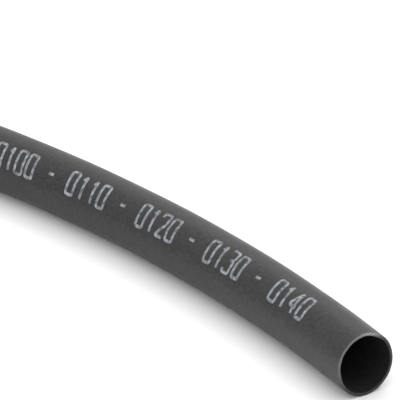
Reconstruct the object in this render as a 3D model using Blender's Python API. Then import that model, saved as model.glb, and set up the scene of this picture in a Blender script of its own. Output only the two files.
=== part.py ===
"""A cut piece of round heat shrink tubing, lying on its side.

Metres, with +Z up. It is one extruded tube of thin wall, open at both ends. The curl
that its reel left in it lies flat, so the centreline is an arc in a level plane. The
chord of that arc runs along X, and the arc bulges towards +Y. The end at +X is the
mouth, which was cut a little askew. The end at -X is cut square. The origin is under
the middle of the footprint, on the surface that the tube lies on.
"""

import math

import bmesh
import bpy
from mathutils import Matrix, Vector

# Driving sizes, as supplied and before any heat

BORE = 0.0055  # inside diameter
WALL = 0.00028  # wall thickness
LENGTH = 0.150  # along the centreline
CURL_RADIUS = 0.156  # bend radius of the centreline
MOUTH_YAW = math.radians(3.9)  # how far the mouth's cut faces to the outside of the curl
MOUTH_PITCH = math.radians(5.5)  # how far it faces up

# Fineness of the mesh

SIDES = 32
STEPS = 36

# Sizes that follow

INNER_RADIUS = BORE / 2
OUTER_RADIUS = INNER_RADIUS + WALL
CURL_ANGLE = LENGTH / CURL_RADIUS

UP = Vector((0, 0, 1))


def clear_scene():
    for obj in list(bpy.data.objects):
        bpy.data.objects.remove(obj)


def black_polyolefin():
    material = bpy.data.materials.new("black_polyolefin")
    material.use_nodes = True
    shader = material.node_tree.nodes["Principled BSDF"]
    shader.inputs["Base Color"].default_value = (0.028, 0.028, 0.030, 1)
    shader.inputs["Roughness"].default_value = 0.5
    shader.inputs["Metallic"].default_value = 0
    return material


def heading_at(angle):
    """The tube's direction at this angle along the curl, counted from its middle."""
    return Vector((math.cos(angle), -math.sin(angle), 0))


def centre_at(angle):
    """The centreline's point at this angle, with the curl's own centre at the origin."""
    return CURL_RADIUS * Vector((math.sin(angle), math.cos(angle), 0))


def section_frame(angle):
    """Places a flat section there: its Z runs along the tube, and its Y points up."""
    heading = heading_at(angle)
    across = UP.cross(heading)
    turn = Matrix((across, UP, heading)).transposed().to_4x4()
    return Matrix.Translation(centre_at(angle)) @ turn


def add_wall_section(bm, angle):
    """The ring of wall between the bore and the outside, as flat faces."""
    frame = section_frame(angle)
    edges = []
    for radius in (OUTER_RADIUS, INNER_RADIUS):
        circle = bmesh.ops.create_circle(bm, segments=SIDES, radius=radius, matrix=frame)
        edges += {edge for vert in circle["verts"] for edge in vert.link_edges}
    return bmesh.ops.bridge_loops(bm, edges=edges)["faces"]


def sweep_along_curl(bm, section):
    """Sweeps the section round the curl's centre, and returns the last ring's corners."""
    swept = bmesh.ops.spin(
        bm,
        geom=section,
        cent=(0, 0, 0),
        axis=-UP,
        angle=CURL_ANGLE,
        steps=STEPS,
    )
    return [item for item in swept["geom_last"] if isinstance(item, bmesh.types.BMVert)]


def cut_askew(corners, angle):
    """Slides the mouth's corners along the tube, onto the plane of the slanting cut."""
    heading = heading_at(angle)
    outside = UP.cross(heading)
    for corner in corners:
        arm = corner.co - centre_at(angle)
        slant = arm.dot(outside) * math.tan(MOUTH_YAW) + arm.dot(UP) * math.tan(MOUTH_PITCH)
        corner.co -= heading * slant


def stand_on_origin(bm):
    """Moves the tube so that the origin is under the middle of its footprint."""
    spans = [[vert.co[axis] for vert in bm.verts] for axis in range(3)]
    middle_x, middle_y = ((min(span) + max(span)) / 2 for span in spans[:2])
    bmesh.ops.translate(bm, verts=bm.verts, vec=(-middle_x, -middle_y, -min(spans[2])))


def heat_shrink_tube():
    bm = bmesh.new()
    section = add_wall_section(bm, -CURL_ANGLE / 2)
    mouth = sweep_along_curl(bm, section)
    cut_askew(mouth, CURL_ANGLE / 2)
    stand_on_origin(bm)
    bmesh.ops.recalc_face_normals(bm, faces=bm.faces)
    mesh = bpy.data.meshes.new("heat_shrink_tube")
    bm.to_mesh(mesh)
    bm.free()
    mesh.shade_smooth()
    mesh.set_sharp_from_angle(angle=math.radians(40))
    mesh.materials.append(black_polyolefin())
    tube = bpy.data.objects.new("heat_shrink_tube", mesh)
    bpy.context.collection.objects.link(tube)


clear_scene()
heat_shrink_tube()
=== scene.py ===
import math

import bpy
import numpy as np
from mathutils import Matrix, Vector


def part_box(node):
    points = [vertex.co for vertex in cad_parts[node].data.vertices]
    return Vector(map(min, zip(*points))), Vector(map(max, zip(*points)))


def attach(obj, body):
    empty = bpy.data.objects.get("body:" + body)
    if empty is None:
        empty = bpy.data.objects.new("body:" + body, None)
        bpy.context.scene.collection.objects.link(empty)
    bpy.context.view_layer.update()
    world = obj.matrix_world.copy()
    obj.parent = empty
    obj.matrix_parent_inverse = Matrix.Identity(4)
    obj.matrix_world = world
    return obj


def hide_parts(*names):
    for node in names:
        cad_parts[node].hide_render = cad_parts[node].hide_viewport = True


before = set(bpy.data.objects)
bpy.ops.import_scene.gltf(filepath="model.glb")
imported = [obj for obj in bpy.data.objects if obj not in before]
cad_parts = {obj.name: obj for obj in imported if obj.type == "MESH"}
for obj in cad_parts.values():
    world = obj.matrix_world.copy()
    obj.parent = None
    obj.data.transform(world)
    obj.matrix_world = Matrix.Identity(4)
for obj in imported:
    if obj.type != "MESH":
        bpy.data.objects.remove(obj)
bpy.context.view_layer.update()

# A cut piece of black heat shrink tubing on a pale floor, in metres, +Z up. The tube is
# an arc in a level plane. A place on it is given by its distance along the centreline
# from the far end, its turn round the tube (0 on the outside of the curl, 90 degrees on
# top) and its radius.

# Sizes of the tube

NODE = "heat_shrink_tube"
BORE = 0.0055
WALL = 0.00028
LENGTH = 0.150
CURL_RADIUS = 0.156
MOUTH_YAW = math.radians(3.9)
MOUTH_PITCH = math.radians(5.5)

OUTER_RADIUS = BORE / 2 + WALL
CURL_ANGLE = LENGTH / CURL_RADIUS

# Unevenness of the expanded tube

WAVE = 0.000008  # how far the surface rises and falls along the tube
WAVE_LENGTHS = (0.030, 0.013)
OVAL = 0.000012  # how far the tube is out of round
OVAL_DRIFT = math.radians(260)  # how fast the oval turns round the tube, per metre

# The cut at the mouth has squeezed the tube a little: it is oval there, pinched on one
# side, and its lip is thicker at the pinch and on the inside of the curl

MOUTH_REACH = 0.004
MOUTH_OVAL = 0.00003
MOUTH_OVAL_TURN = math.radians(-25)
PINCH = 0.00003
PINCH_TURN = math.radians(58)
PINCH_SPREAD = math.radians(15)
LIP_REACH = 0.0007
LIP = 0.000015
LIP_PINCH = 0.00005
LIP_SIDE = 0.00006
LIP_SIDE_TURN = math.radians(190)
LIP_SIDE_SPREAD = math.radians(26)

# The cuts: how uneven they are, and their rounded edges

CUT_WAVE = 0.000012
CUT_RIPPLES = ((5, 1.0), (13, 0.8), (29, 0.6))  # waves round a cut, and how large each is
OUTER_EDGE = 0.00005
INNER_EDGE = 0.00004

# Where the cuts are painted pale: blade whitening laid out round the ring as painted light,
# a broad stretch on one side and a painted highlight at the top. At 1 or more a place is fully pale

SIDE_WHITENING_AND_PAINTED_LIGHT = 0.36
SIDE_PAINTED_LIGHT_TURN = math.radians(135)
SIDE_PAINTED_LIGHT_RISE = 1.25  # how steeply the broad stretch comes up from its ends
SIDE_PAINTED_LIGHT_START = 0.11
# Painted highlight at the top of the mouth's rim, over its blade whitening
TOP_PAINTED_HIGHLIGHT = 1.15
TOP_PAINTED_HIGHLIGHT_TURN = math.radians(75)
TOP_PAINTED_HIGHLIGHT_SPREAD = math.radians(22)
PAINTED_HIGHLIGHT_BESIDE = 0.2  # share of the top's painted highlight on the surface beside the cut
PAINTED_HIGHLIGHT_REACH = 0.0003

# Painted reflection at the mouth end: its surface is painted a little paler on the inside of the curl,
# standing in for the brighter floor reflected there

PAINTED_REFLECTION = 0.032
PAINTED_REFLECTION_TURN = math.radians(171)
PAINTED_REFLECTION_SPREAD = math.radians(26)
PAINTED_REFLECTION_REACH = 0.011

# Fineness of the tube's mesh

SIDES = 160
OUTER_RINGS = 300
INNER_RINGS = 150
MOUTH_RINGS = 14  # the extra rings in the last stretch before the mouth
MOUTH_STRETCH = 0.0015
EDGE_STEPS = 4

# The printed length scale: a number of millimetres every 10 mm and a dash halfway

MM_PER_METRE = 1000
NUMBER_STEP = 0.010
CELLS = 7  # four digits, a gap, the dash and a gap
CELL = NUMBER_STEP / CELLS
DIGIT_WIDTH = 0.00092
DIGIT_HEIGHT = 0.00240
DIGIT_LEAN = 0.00030  # how far a digit's head stands behind its foot
CORNER = 0.00024  # how far from a corner its round begins
CORNER_STEPS = 4
STROKE = 0.00032
STROKE_STEP = 0.00012
BEAD_RESOLUTION = 2
INK_HEIGHT = 0.000012
PRINT_TURN = math.radians(117)  # turn of the print's middle line at the mouth
PRINT_DRIFT = math.radians(400)  # how fast that line drifts round the tube, per metre

# The photograph's view: its frame is 400 pixels wide, and the camera looks down on the
# mouth, which lies at MOUTH_PX

FRAME_PX = 400
FOCAL_PX = 3900
MOUTH_PX = (365.3, 364.5)
MOUTH_DISTANCE = 0.3493
CAMERA_PITCH = math.radians(27.1)
CAMERA_TURN = math.radians(60.05)  # from the mouth's heading round to the frame's right
SENSOR = 36.0
NEAR_LIMIT = 0.01

# Light: even surroundings of this level at the horizon, brighter overhead and dimmer
# below, and a softbox whose place is given from the mouth in the view's directions

DOME_LEVEL = 0.87
DOME_RISE = 0.59
SOFTBOX_RIGHT = 0.10
SOFTBOX_AHEAD = 0.35
SOFTBOX_UP = 0.45
SOFTBOX_SIZE = 0.35
SOFTBOX_WATTS = 0.515
FLOOR_HALF = 5.0

UP = Vector((0, 0, 1))

tube_low, tube_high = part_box(NODE)
TUBE_REACH = CURL_RADIUS + OUTER_RADIUS
CURL_CENTRE = Vector(
    (
        tube_low.x + TUBE_REACH * math.sin(CURL_ANGLE / 2),
        tube_high.y - TUBE_REACH,
        tube_low.z + OUTER_RADIUS,
    )
)


def tube_points(along, turn, radius):
    """Places on the curled tube, as an array of points."""
    angle = along / CURL_RADIUS - CURL_ANGLE / 2
    reach = CURL_RADIUS + radius * np.cos(turn)
    x = CURL_CENTRE.x + reach * np.sin(angle)
    y = CURL_CENTRE.y + reach * np.cos(angle)
    z = CURL_CENTRE.z + radius * np.sin(turn)
    return np.stack(np.broadcast_arrays(x, y, z), axis=-1)


def bell(value, middle, spread):
    """1 at the middle, fading to 0 on both sides."""
    return np.exp(-(((value - middle) / spread) ** 2))


def pinch_share(turn):
    return bell(turn, PINCH_TURN, PINCH_SPREAD)


def surface_radius(along, turn):
    """The outer surface: round, with the slight unevenness of expanded tubing."""
    waves = sum(np.sin(2 * math.pi * along / length) for length in WAVE_LENGTHS)
    oval = np.cos(2 * (turn - OVAL_DRIFT * along))
    squeezed = MOUTH_OVAL * np.cos(2 * (turn - MOUTH_OVAL_TURN)) - PINCH * pinch_share(turn)
    near_mouth = bell(along, LENGTH, MOUTH_REACH)
    return OUTER_RADIUS + WAVE * waves + OVAL * oval + squeezed * near_mouth


def wall_thickness(along, turn):
    """The wall is even, except for its lip at the mouth."""
    side = bell(turn, LIP_SIDE_TURN, LIP_SIDE_SPREAD)
    lip = LIP + LIP_PINCH * pinch_share(turn) + LIP_SIDE * side
    return WALL + lip * bell(along, LENGTH, LIP_REACH)


def mouth_slant(turn, radius):
    """How far the askew cut sets this part of the mouth back along the tube."""
    sideways = radius * np.cos(turn) * math.tan(MOUTH_YAW)
    return sideways + radius * np.sin(turn) * math.tan(MOUTH_PITCH)


def cut_wave(turn):
    """How far the blade has strayed from a flat cut."""
    return CUT_WAVE * sum(size * np.sin(count * turn) for count, size in CUT_RIPPLES)


# Mesh of the tube


def ring_shares(rings):
    """Where the rings between the ends lie, as shares of the length, closer at the mouth."""
    fine = 1 - MOUTH_STRETCH / LENGTH
    even = np.linspace(0, fine, rings, endpoint=False)[1:]
    return [*even, *np.linspace(fine, 1, MOUTH_RINGS)[:-1]]


def cut_wall():
    """Points over a cut, from the outside to the bore: (how far behind the cut, depth)."""
    quarter = np.linspace(0, math.pi / 2, EDGE_STEPS + 1)
    outer = [(OUTER_EDGE * (1 - math.sin(a)), OUTER_EDGE * (1 - math.cos(a))) for a in quarter]
    inner = [(INNER_EDGE * (1 - math.cos(a)), WALL - INNER_EDGE * (1 - math.sin(a))) for a in quarter]
    return outer + inner


def wall_profile():
    """The wall's closed outline as rows of (share of the length, offset along it, depth).

    It runs along the outer surface to the mouth, over that cut, back through the bore and
    over the far cut.
    """
    outside = [(share, 0, 0) for share in ring_shares(OUTER_RINGS)]
    mouth = [(1, -behind, depth) for behind, depth in cut_wall()]
    bore = [(share, 0, WALL) for share in reversed(ring_shares(INNER_RINGS))]
    far_end = [(0, behind, depth) for behind, depth in reversed(cut_wall())]
    return np.array(outside + mouth + bore + far_end)


def whitening_and_painted_light(along, turn, depth, facing):
    """How pale the wall is painted: blade whitening on the cuts, laid out as painted light round
    the ring, most of it a painted highlight at the top, where it keeps to the outer part, and a
    little of it on the surface beside the mouth's cut; and a painted reflection behind the mouth."""
    # Painted light on one side of the rim, over the blade whitening
    rise = SIDE_PAINTED_LIGHT_RISE * np.cos(turn - SIDE_PAINTED_LIGHT_TURN) - SIDE_PAINTED_LIGHT_START
    side = SIDE_WHITENING_AND_PAINTED_LIGHT * np.clip(rise, 0, 1)
    # Painted highlight at the top of the rim, and a little of it beside the cut
    top_painted_highlight = TOP_PAINTED_HIGHLIGHT * bell(turn, TOP_PAINTED_HIGHLIGHT_TURN, TOP_PAINTED_HIGHLIGHT_SPREAD)
    beside = PAINTED_HIGHLIGHT_BESIDE * top_painted_highlight * bell(along, LENGTH, PAINTED_HIGHLIGHT_REACH)
    # Painted reflection: paler on the inside of the curl near the mouth
    painted_reflection = PAINTED_REFLECTION * bell(turn, PAINTED_REFLECTION_TURN, PAINTED_REFLECTION_SPREAD) * bell(along, LENGTH, PAINTED_REFLECTION_REACH)
    return facing * (side + top_painted_highlight * (1 - depth / WALL)) + beside + painted_reflection


def ring_faces(rings, sides):
    """Quads that join each ring of points to the next, and the last to the first."""
    corner = np.arange(rings * sides).reshape(rings, sides)
    beside = np.roll(corner, -1, axis=1)
    ahead = np.roll(corner, -1, axis=0)
    opposite = np.roll(beside, -1, axis=0)
    return np.stack((corner, beside, opposite, ahead), axis=-1).reshape(-1, 4).tolist()


def add_object(name, mesh):
    mesh.shade_smooth()
    piece = bpy.data.objects.new(name, mesh)
    bpy.context.scene.collection.objects.link(piece)
    return piece


def mesh_object(name, points, faces):
    mesh = bpy.data.meshes.new(name)
    mesh.from_pydata(points.tolist(), [], faces)
    return add_object(name, mesh)


def store(mesh, name, kind, values):
    """Keeps values, one for each point, for the materials to read."""
    attribute = mesh.attributes.new(name, kind, "POINT")
    field = "vector" if kind == "FLOAT_VECTOR" else "value"
    attribute.data.foreach_set(field, np.ascontiguousarray(values, np.float32).ravel())


def tube():
    profile = wall_profile()
    turns = np.linspace(0, 2 * math.pi, SIDES, endpoint=False)
    share, offset, depth, turn = np.broadcast_arrays(*profile.T[:, :, None], turns[None, :])
    nominal = share * LENGTH
    radius = surface_radius(nominal, turn) - depth / WALL * wall_thickness(nominal, turn)
    mouth = LENGTH - mouth_slant(turn, radius) - cut_wave(turn)
    along = share * mouth + (1 - share) * cut_wave(-turn) + offset
    points = tube_points(along, turn, radius).reshape(-1, 3)
    piece = mesh_object("shrink_tube", points, ring_faces(len(profile), SIDES))

    # How squarely a place faces along the tube: 1 on a cut's flat ring, less on its edges
    on_cut = (share == 0) | (share == 1)
    facing = np.where(on_cut, (1 - np.abs(offset) / OUTER_EDGE) ** 2, 0)

    straight = np.stack((along, radius * np.cos(turn), radius * np.sin(turn)), axis=-1)
    store(piece.data, "straight", "FLOAT_VECTOR", straight)
    # How pale each place is painted: blade whitening, with painted light, a painted highlight and a
    # painted reflection
    store(piece.data, "whitened_and_painted_light", "FLOAT", whitening_and_painted_light(along, turn, depth, facing))

    # There are as many faces as points, and a face has the material of its first point
    in_bore = (depth == WALL) & ~on_cut
    piece.data.materials.append(polyolefin())
    piece.data.materials.append(bore_polyolefin())
    piece.data.polygons.foreach_set("material_index", in_bore.ravel().astype(np.int32))
    return piece


# The printed scale. A glyph is a list of strokes in a box of 1 by 1, and their corners
# are rounded later

ROUND_LOOP = [(0, 0.5), (0, 1), (1, 1), (1, 0), (0, 0), (0, 0.5)]
GLYPHS = {
    "0": [ROUND_LOOP],
    "1": [[(0.25, 0.78), (0.6, 1), (0.6, 0)]],
    "2": [[(0, 0.8), (0, 1), (1, 1), (1, 0.55), (0, 0), (1, 0)]],
    "3": [[(0, 1), (1, 1), (1, 0.55), (0.4, 0.55)], [(0.4, 0.55), (1, 0.55), (1, 0), (0, 0), (0, 0.15)]],
    "4": [[(0.75, 0), (0.75, 1), (0, 0.3), (1, 0.3)]],
    "5": [[(0.95, 1), (0.1, 1), (0.05, 0.56), (1, 0.56), (1, 0), (0, 0), (0, 0.15)]],
    "6": [[(0.9, 1), (0, 1), (0, 0), (1, 0), (1, 0.56), (0, 0.56)]],
    "7": [[(0, 1), (1, 1), (0.35, 0)]],
    "8": [ROUND_LOOP, [(0, 0.53), (1, 0.53)]],
    "9": [[(0.1, 0), (1, 0), (1, 1), (0, 1), (0, 0.44), (1, 0.44)]],
    "-": [[(0.15, 0.5), (0.85, 0.5)]],
}


def rounded(stroke):
    """The stroke with each inner corner turned in a short curve."""
    smooth = [stroke[0]]
    for before, here, after in zip(stroke, stroke[1:], stroke[2:]):
        start = here + (before - here).normalized() * min(CORNER, (before - here).length / 2)
        end = here + (after - here).normalized() * min(CORNER, (after - here).length / 2)
        for i in range(CORNER_STEPS + 1):
            t = i / CORNER_STEPS
            smooth.append((1 - t) ** 2 * start + 2 * t * (1 - t) * here + t * t * end)
    return smooth + [stroke[-1]]


def divided(stroke):
    """The stroke with points close enough together to bend round the tube."""
    close = [stroke[0]]
    for start, end in zip(stroke, stroke[1:]):
        steps = math.ceil((end - start).length / STROKE_STEP)
        close += [start.lerp(end, (i + 1) / steps) for i in range(steps)]
    return close


def text_strokes(text, middle):
    """The strokes of a text laid out flat, centred on this place along the tube."""
    strokes = []
    for i, sign in enumerate(text):
        left = middle + (i - (len(text) - 1) / 2) * CELL - DIGIT_WIDTH / 2
        for glyph in GLYPHS[sign]:
            flat = [Vector((left + x * DIGIT_WIDTH, (y - 0.5) * DIGIT_HEIGHT)) for x, y in glyph]
            strokes.append(divided(rounded(flat)))
    return strokes


def scale_strokes():
    strokes = []
    for count in range(1, round(LENGTH / NUMBER_STEP)):
        middle = count * NUMBER_STEP
        strokes += text_strokes(f"{round(middle * MM_PER_METRE):04d}", middle)
        if middle + NUMBER_STEP < LENGTH:
            strokes += text_strokes("-", middle + NUMBER_STEP / 2)
    return strokes


def flat_scale():
    """The whole scale as one mesh of round beads, still laid out flat."""
    curve = bpy.data.curves.new("flat_scale", "CURVE")
    curve.dimensions = "3D"
    curve.bevel_depth = STROKE / 2
    curve.bevel_resolution = BEAD_RESOLUTION
    curve.use_fill_caps = True
    for stroke in scale_strokes():
        spline = curve.splines.new("POLY")
        spline.points.add(len(stroke) - 1)
        for point, place in zip(spline.points, stroke):
            point.co = (place.x, place.y, 0, 1)
    guide = bpy.data.objects.new("flat_scale", curve)
    bpy.context.scene.collection.objects.link(guide)
    graph = bpy.context.evaluated_depsgraph_get()
    mesh = bpy.data.meshes.new_from_object(guide.evaluated_get(graph))
    bpy.data.objects.remove(guide)
    return mesh


def printed_scale():
    """The flat scale, pressed thin and wrapped round the tube."""
    mesh = flat_scale()
    mesh.name = "printed_scale"
    flat = np.empty(len(mesh.vertices) * 3, np.float32)
    mesh.vertices.foreach_get("co", flat)
    x, y, z = flat.reshape(-1, 3).astype(float).T
    along = x - DIGIT_LEAN * y / DIGIT_HEIGHT
    turn = PRINT_TURN + PRINT_DRIFT * (LENGTH - along) - y / OUTER_RADIUS
    radius = surface_radius(along, turn) + INK_HEIGHT * z / (STROKE / 2)
    points = tube_points(along, turn, radius)
    mesh.vertices.foreach_set("co", points.astype(np.float32).ravel())
    mesh.materials.clear()
    mesh.materials.append(ink())
    return add_object("printed_scale", mesh)


# Materials

BODY_DARK = (0.0030, 0.0030, 0.0031)
BODY_PALE = (0.0250, 0.0250, 0.0252)
BODY_ROUGHNESS = (0.395, 0.445)
BODY_SPECULAR = 0.415
BORE_DARK = (0.0120, 0.0120, 0.0121)
BORE_PALE = (0.0240, 0.0240, 0.0242)
BORE_ROUGHNESS = (0.75, 0.85)
BORE_SPECULAR = 0.15
# Colour of the pale cuts, which also carries the painted highlight, painted light and painted reflection
WHITENED_AND_PAINTED_LIGHT = (0.26, 0.26, 0.26)
INK_DARK = (0.060, 0.063, 0.070)
INK_PALE = (0.340, 0.352, 0.390)
INK_ROUGHNESS = (0.7, 0.5)
FLOOR_COLOUR = (0.96, 0.96, 0.96)
FLOOR_ROUGHNESS = 0.9
FLOOR_SPECULAR = 0.1

# Sizes of the patterns, and how high they stand

CLOUD_SIZE = 0.0014
MOTTLE_SIZE = 0.0003
MOTTLE_HEIGHT = 0.000008
GRAIN_SIZE = 0.00008
GRAIN_HEIGHT = 0.000006
STREAK_SIZE = 0.00025
STREAK_HEIGHT = 0.000006
STREAK_STRETCH = 25  # how much longer a streak is than it is wide
BORE_MOTTLE_SIZE = 0.0004
BORE_MOTTLE_HEIGHT = 0.000006
INK_PATCH_SIZE = 0.0004

# How finely the patterns are broken up, and the values that most of a pattern lies in

DETAIL = 4
DETAIL_ROUGHNESS = 0.55
FINE_DETAIL = 3
INK_DETAIL = 5
INK_DETAIL_ROUGHNESS = 0.65
MOST = (0.3, 0.7)
MIDDLE = (0.35, 0.65)


def new_material(name):
    material = bpy.data.materials.new(name)
    material.use_nodes = True
    tree = material.node_tree
    return material, tree, tree.nodes["Principled BSDF"]


def noise(tree, place, size, detail=DETAIL, roughness=DETAIL_ROUGHNESS):
    node = tree.nodes.new("ShaderNodeTexNoise")
    node.inputs["Scale"].default_value = 1 / size
    node.inputs["Detail"].default_value = detail
    node.inputs["Roughness"].default_value = roughness
    tree.links.new(place, node.inputs["Vector"])
    return node.outputs["Fac"]


def attribute(tree, name, output):
    node = tree.nodes.new("ShaderNodeAttribute")
    node.attribute_name = name
    return node.outputs[output]


def drawn_out(tree, place, factor):
    """The place with its distance along the tube shortened, which draws a pattern out."""
    node = tree.nodes.new("ShaderNodeVectorMath")
    node.operation = "MULTIPLY"
    node.inputs[1].default_value = (1 / factor, 1, 1)
    tree.links.new(place, node.inputs[0])
    return node.outputs["Vector"]


def ramp(tree, value, span, target):
    """Takes the span of values to the target span, and what is beyond it to its ends."""
    node = tree.nodes.new("ShaderNodeMapRange")
    limits = zip(("From Min", "From Max", "To Min", "To Max"), (*span, *target))
    for name, limit in limits:
        node.inputs[name].default_value = limit
    tree.links.new(value, node.inputs["Value"])
    return node.outputs["Result"]


def socket(sockets, identifier):
    return next(s for s in sockets if s.identifier == identifier)


def mixed(tree, factor, first, second):
    """A mix of two colours. The first may be another node's output."""
    node = tree.nodes.new("ShaderNodeMix")
    node.data_type = "RGBA"
    tree.links.new(factor, socket(node.inputs, "Factor_Float"))
    if isinstance(first, tuple):
        socket(node.inputs, "A_Color").default_value = (*first, 1)
    else:
        tree.links.new(first, socket(node.inputs, "A_Color"))
    socket(node.inputs, "B_Color").default_value = (*second, 1)
    return socket(node.outputs, "Result_Color")


def bump(tree, pattern, height, below=None):
    """A surface that the pattern raises, on top of another such surface if one is given."""
    node = tree.nodes.new("ShaderNodeBump")
    node.inputs["Distance"].default_value = height
    tree.links.new(pattern, node.inputs["Height"])
    if below is not None:
        tree.links.new(below, node.inputs["Normal"])
    return node.outputs["Normal"]


def polyolefin():
    """Patterns follow the tube as if it were straight, so they run on without a seam."""
    material, tree, shader = new_material("matte_black_polyolefin")
    straight = attribute(tree, "straight", "Vector")
    cloud = noise(tree, straight, CLOUD_SIZE)
    mottle = noise(tree, straight, MOTTLE_SIZE)
    grain = noise(tree, straight, GRAIN_SIZE, FINE_DETAIL)
    streaks = noise(tree, drawn_out(tree, straight, STREAK_STRETCH), STREAK_SIZE, FINE_DETAIL)
    body = mixed(tree, ramp(tree, mottle, MOST, (0, 1)), BODY_DARK, BODY_PALE)
    # Mixes in the pale cuts with their painted highlight, painted light and painted reflection
    colour = mixed(tree, attribute(tree, "whitened_and_painted_light", "Fac"), body, WHITENED_AND_PAINTED_LIGHT)
    surface = bump(tree, grain, GRAIN_HEIGHT)
    surface = bump(tree, mottle, MOTTLE_HEIGHT, below=surface)
    surface = bump(tree, streaks, STREAK_HEIGHT, below=surface)
    tree.links.new(colour, shader.inputs["Base Color"])
    tree.links.new(ramp(tree, cloud, MIDDLE, BODY_ROUGHNESS), shader.inputs["Roughness"])
    tree.links.new(surface, shader.inputs["Normal"])
    shader.inputs["Specular IOR Level"].default_value = BODY_SPECULAR
    return material


def bore_polyolefin():
    """The bore's wall is duller than the outside."""
    material, tree, shader = new_material("dull_black_bore")
    mottle = noise(tree, attribute(tree, "straight", "Vector"), BORE_MOTTLE_SIZE)
    body = mixed(tree, ramp(tree, mottle, MOST, (0, 1)), BORE_DARK, BORE_PALE)
    tree.links.new(body, shader.inputs["Base Color"])
    tree.links.new(ramp(tree, mottle, MOST, BORE_ROUGHNESS), shader.inputs["Roughness"])
    tree.links.new(bump(tree, mottle, BORE_MOTTLE_HEIGHT), shader.inputs["Normal"])
    shader.inputs["Specular IOR Level"].default_value = BORE_SPECULAR
    return material


def ink():
    """Pale ink that is worn and thin in places."""
    material, tree, shader = new_material("pale_grey_ink")
    place = tree.nodes.new("ShaderNodeTexCoord").outputs["Object"]
    patches = noise(tree, place, INK_PATCH_SIZE, INK_DETAIL, INK_DETAIL_ROUGHNESS)
    colour = mixed(tree, ramp(tree, patches, MIDDLE, (0, 1)), INK_DARK, INK_PALE)
    tree.links.new(colour, shader.inputs["Base Color"])
    tree.links.new(ramp(tree, patches, MOST, INK_ROUGHNESS), shader.inputs["Roughness"])
    return material


def pale_floor():
    material, tree, shader = new_material("pale_floor")
    shader.inputs["Base Color"].default_value = (*FLOOR_COLOUR, 1)
    shader.inputs["Roughness"].default_value = FLOOR_ROUGHNESS
    shader.inputs["Specular IOR Level"].default_value = FLOOR_SPECULAR
    return material


# Camera, light and floor


def camera_axes():
    """Level directions in the photograph's view: to its right, and ahead."""
    angle = CURL_ANGLE / 2
    mouth_heading = Vector((math.cos(angle), -math.sin(angle), 0))
    right = Matrix.Rotation(CAMERA_TURN, 3, "Z") @ mouth_heading
    return right, UP.cross(right)


def mouth_centre():
    return Vector(tube_points(LENGTH, 0.0, 0.0))


def make_camera():
    right, ahead = camera_axes()
    forward = math.cos(CAMERA_PITCH) * ahead - math.sin(CAMERA_PITCH) * UP
    upward = math.cos(CAMERA_PITCH) * UP + math.sin(CAMERA_PITCH) * ahead
    metres_per_px = MOUTH_DISTANCE / FOCAL_PX
    mouth_right, mouth_down = ((px - FRAME_PX / 2) * metres_per_px for px in MOUTH_PX)
    data = bpy.data.cameras.new("camera")
    data.sensor_width = SENSOR
    data.lens = FOCAL_PX * SENSOR / FRAME_PX
    data.clip_start = NEAR_LIMIT
    camera = bpy.data.objects.new("camera", data)
    aim = mouth_centre() - mouth_right * right + mouth_down * upward
    turn = Matrix((right, upward, -forward)).transposed().to_4x4()
    camera.matrix_world = Matrix.Translation(aim - MOUTH_DISTANCE * forward) @ turn
    bpy.context.scene.collection.objects.link(camera)
    bpy.context.scene.camera = camera


def softbox():
    """A square soft light behind the tube, which faces the mouth."""
    right, ahead = camera_axes()
    towards_light = right * SOFTBOX_RIGHT + ahead * SOFTBOX_AHEAD + UP * SOFTBOX_UP
    data = bpy.data.lights.new("softbox_behind", "AREA")
    data.size = SOFTBOX_SIZE
    data.energy = SOFTBOX_WATTS
    light = bpy.data.objects.new("softbox_behind", data)
    light.location = mouth_centre() + towards_light
    light.rotation_euler = (-towards_light).to_track_quat("-Z", "Y").to_euler()
    light.visible_camera = False
    bpy.context.scene.collection.objects.link(light)


def dome_world():
    """Even surroundings that are brighter overhead than at the horizon."""
    world = bpy.data.worlds.new("studio")
    world.use_nodes = True
    tree = world.node_tree
    height = tree.nodes.new("ShaderNodeSeparateXYZ")
    tree.links.new(tree.nodes.new("ShaderNodeTexCoord").outputs["Generated"], height.inputs["Vector"])
    level = ramp(tree, height.outputs["Z"], (-1, 1), (DOME_LEVEL - DOME_RISE, DOME_LEVEL + DOME_RISE))
    background = tree.nodes["Background"]
    background.inputs["Color"].default_value = (1, 1, 1, 1)
    tree.links.new(level, background.inputs["Strength"])
    return world


def studio():
    softbox()
    bpy.context.scene.world = dome_world()
    bpy.context.scene.view_settings.view_transform = "Standard"


def floor():
    signs = ((-1, -1), (1, -1), (1, 1), (-1, 1))
    corners = np.array([(x * FLOOR_HALF, y * FLOOR_HALF, 0) for x, y in signs])
    piece = mesh_object("floor", corners, [(0, 1, 2, 3)])
    piece.data.materials.append(pale_floor())


make_camera()
studio()
floor()

shrink_tube = tube()
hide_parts(NODE)
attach(shrink_tube, "root")

scale = printed_scale()
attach(scale, "root")
